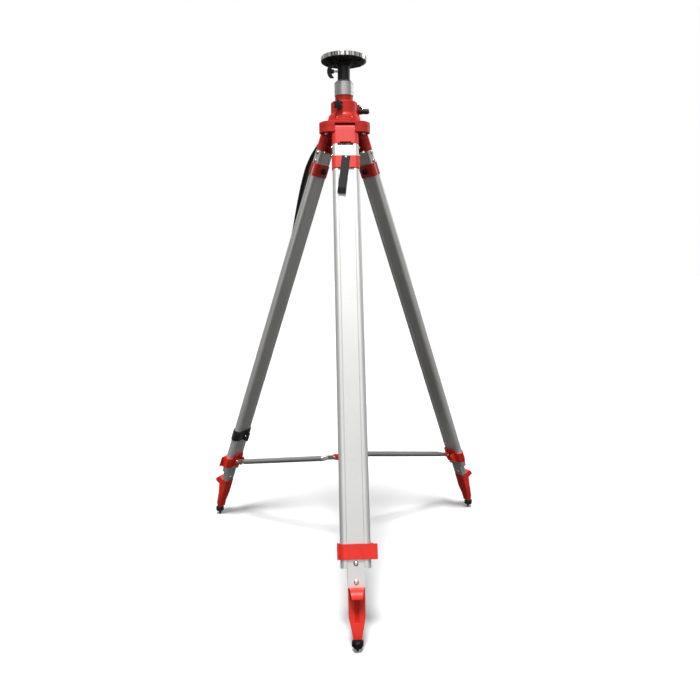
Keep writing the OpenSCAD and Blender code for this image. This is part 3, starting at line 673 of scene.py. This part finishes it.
def add_camera():
    ahead = Vector((
        math.cos(CAMERA_HEADING) * math.cos(CAMERA_PITCH),
        math.sin(CAMERA_HEADING) * math.cos(CAMERA_PITCH),
        math.sin(CAMERA_PITCH),
    ))
    right = ahead.cross(Vector((0, 0, 1))).normalized()
    up = right.cross(ahead)
    r2 = math.cos(CAMERA_ROLL) * right + math.sin(CAMERA_ROLL) * up
    u2 = -math.sin(CAMERA_ROLL) * right + math.cos(CAMERA_ROLL) * up
    data = bpy.data.cameras.new("camera")
    data.lens = CAMERA_LENS
    data.sensor_width = SENSOR
    data.shift_y = CAMERA_SHIFT_UP
    data.dof.use_dof = False
    data.clip_start = 0.05
    camera = bpy.data.objects.new("camera", data)
    bpy.context.collection.objects.link(camera)
    camera.matrix_world = Matrix((
        (r2.x, u2.x, -ahead.x, CAMERA_AT.x),
        (r2.y, u2.y, -ahead.y, CAMERA_AT.y),
        (r2.z, u2.z, -ahead.z, CAMERA_AT.z),
        (0, 0, 0, 1),
    ))
    bpy.context.scene.camera = camera


add_camera()


# ---------- floor and light ----------

FRONT_WALL = (0.0, -0.95, 0.31)  # direction of the bright wall
FRONT_LIGHT = 0.62
DIM_BELOW = 0.07
BRIGHT_ROUND = 0.42
KEY_FROM = (-0.05, -0.30, 0.954)
FLOOR_SIZE = 40


def add_floor():
    """A plain pale floor. It is lit and takes shadows, and doesn't bounce light back up on the legs."""
    bpy.ops.mesh.primitive_plane_add(size=FLOOR_SIZE, location=(0, 0, 0))
    floor = bpy.context.object
    floor.name = "floor"
    floor.visible_diffuse = False
    floor.visible_glossy = False
    paint(floor, floor_material())


def area_light(name, at, aim, size, power):
    data = bpy.data.lights.new(name, "AREA")
    data.energy = power
    data.shape = "RECTANGLE"
    data.size, data.size_y = size
    light = bpy.data.objects.new(name, data)
    light.location = at
    light.rotation_euler = (Vector(aim) - Vector(at)).to_track_quat("-Z", "Y").to_euler()
    bpy.context.collection.objects.link(light)


def add_world():
    """A studio: a bright wall in front with soft gaps, grey round it, dim below, on a white backdrop."""
    world = bpy.data.worlds.new("studio")
    world.use_nodes = True
    tree = world.node_tree
    join_up = tree.links.new

    def ramp(value, low, high, a, b):
        made = tree.nodes.new("ShaderNodeMapRange")
        made.interpolation_type = "SMOOTHSTEP"
        for key, number in (("From Min", low), ("From Max", high), ("To Min", a), ("To Max", b)):
            made.inputs[key].default_value = number
        join_up(value, made.inputs["Value"])
        return made.outputs["Result"]

    def maths(operation, one, two):
        made = tree.nodes.new("ShaderNodeMath")
        made.operation = operation
        join_up(one, made.inputs[0])
        join_up(two, made.inputs[1])
        return made.outputs[0]

    where = tree.nodes.new("ShaderNodeTexCoord").outputs["Generated"]
    split = tree.nodes.new("ShaderNodeSeparateXYZ")
    join_up(where, split.inputs[0])
    front = tree.nodes.new("ShaderNodeVectorMath")
    front.operation = "DOT_PRODUCT"
    front.inputs[1].default_value = FRONT_WALL
    join_up(where, front.inputs[0])
    stretch = tree.nodes.new("ShaderNodeMapping")
    stretch.inputs["Scale"].default_value = (1.0, 1.0, 0.12)
    join_up(where, stretch.inputs["Vector"])
    gaps = tree.nodes.new("ShaderNodeTexNoise")
    gaps.inputs["Scale"].default_value = 5.5
    gaps.inputs["Detail"].default_value = 1.0
    join_up(stretch.outputs["Vector"], gaps.inputs["Vector"])
    wall = ramp(front.outputs["Value"], 0.55, 0.92, 0.0, FRONT_LIGHT)
    round_it = ramp(split.outputs["Z"], -0.45, 0.15, DIM_BELOW, BRIGHT_ROUND)
    broken = ramp(gaps.outputs["Fac"], 0.40, 0.50, 0.12, 1.08)
    room = tree.nodes["Background"]
    room.inputs["Color"].default_value = (1, 1, 1, 1)
    join_up(maths("MULTIPLY", maths("ADD", wall, round_it), broken), room.inputs["Strength"])
    plain = tree.nodes.new("ShaderNodeBackground")
    plain.inputs["Color"].default_value = (1, 1, 1, 1)
    mix = tree.nodes.new("ShaderNodeMixShader")
    join_up(tree.nodes.new("ShaderNodeLightPath").outputs["Is Camera Ray"], mix.inputs["Fac"])
    join_up(room.outputs[0], mix.inputs[1])
    join_up(plain.outputs[0], mix.inputs[2])
    join_up(mix.outputs[0], tree.nodes["World Output"].inputs["Surface"])
    bpy.context.scene.world = world


def sun(name, towards, angle, strength):
    """A far, wide studio light that shines evenly from one direction."""
    data = bpy.data.lights.new(name, "SUN")
    data.energy = strength
    data.angle = math.radians(angle)
    light = bpy.data.objects.new(name, data)
    light.rotation_euler = Vector(towards).to_track_quat("Z", "Y").to_euler()
    bpy.context.collection.objects.link(light)


def add_light():
    add_world()
    sun("key", KEY_FROM, 14, 3.2)
    area_light("rim", (2.6, 1.4, 2.4), (0, 0, 1.2), (0.8, 1.6), 14)
    scene = bpy.context.scene
    scene.view_settings.view_transform = "Standard"
    scene.view_settings.look = "None"


add_floor()
add_light()
